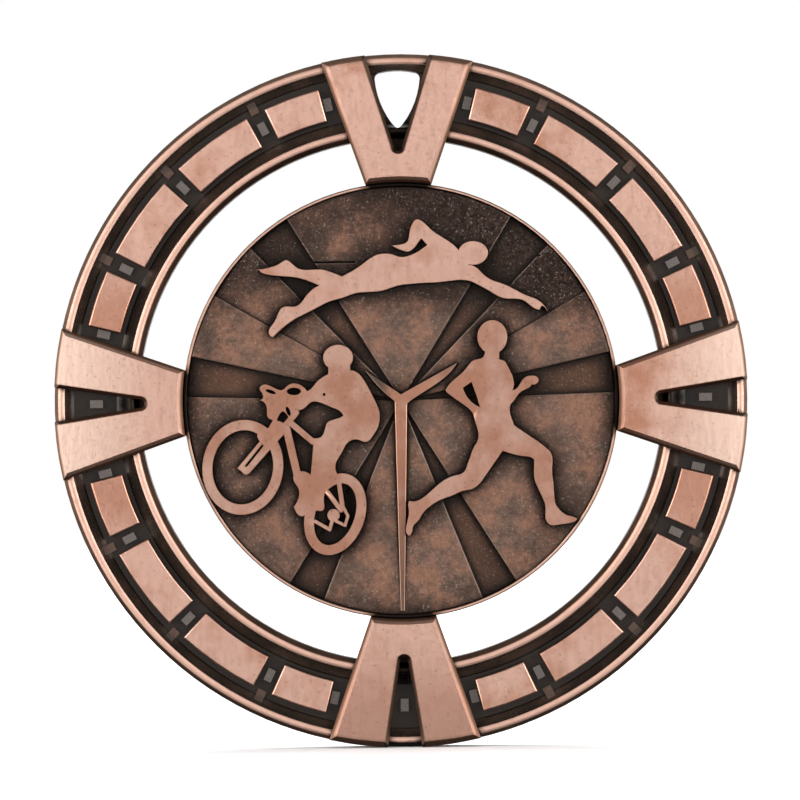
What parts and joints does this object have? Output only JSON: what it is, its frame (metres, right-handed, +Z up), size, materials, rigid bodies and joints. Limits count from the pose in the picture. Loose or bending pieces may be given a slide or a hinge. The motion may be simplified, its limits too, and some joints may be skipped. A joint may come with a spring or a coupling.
{
  "type": "triathlon finisher medal",
  "caption": "Round open-ring medal with V struts, rim tiles, a ribbon eyelet and a centre disc with relief swimmer, cyclist and runner.",
  "frame": {"origin": "middle of the flat back, on the axis of the ring", "axes": "the medal stands upright and faces -Y, +X to the wearer's left, which is the viewer's right, and +Z up to the ribbon eyelet"},
  "size_m": [0.07, 0.004, 0.07],
  "materials": {
    "frame_metal": "antique copper plate, near black in the channel and rubbed bright on the rails",
    "strut_metal": "antique copper plate, satin brushed faces with brown edges",
    "tile_metal": "antique copper plate, satin brushed tops with dark sides",
    "disc_metal": "dark antiqued copper with a sand-cast grain",
    "divider_metal": "antique copper plate, rubbed top with dark sides",
    "figure_metal": "antique copper plate, rubbed bright on the faces of the figures"
  },
  "bodies": {
    "root": {"ring_frame": "frame_metal", "strut_top": "strut_metal", "strut_right": "strut_metal", "strut_bottom": "strut_metal", "strut_left": "strut_metal", "rim_tile_01": "tile_metal", "rim_tile_02": "tile_metal", "rim_tile_03": "tile_metal", "rim_tile_04": "tile_metal", "rim_tile_05": "tile_metal", "rim_tile_06": "tile_metal", "rim_tile_07": "tile_metal", "rim_tile_08": "tile_metal", "rim_tile_09": "tile_metal", "rim_tile_10": "tile_metal", "rim_tile_11": "tile_metal", "rim_tile_12": "tile_metal", "rim_tile_13": "tile_metal", "rim_tile_14": "tile_metal", "rim_tile_15": "tile_metal", "rim_tile_16": "tile_metal", "centre_disc": "disc_metal", "y_divider": "divider_metal", "swimmer": "figure_metal", "runner": "figure_metal", "cyclist": "figure_metal"}
  },
  "joints": []
}
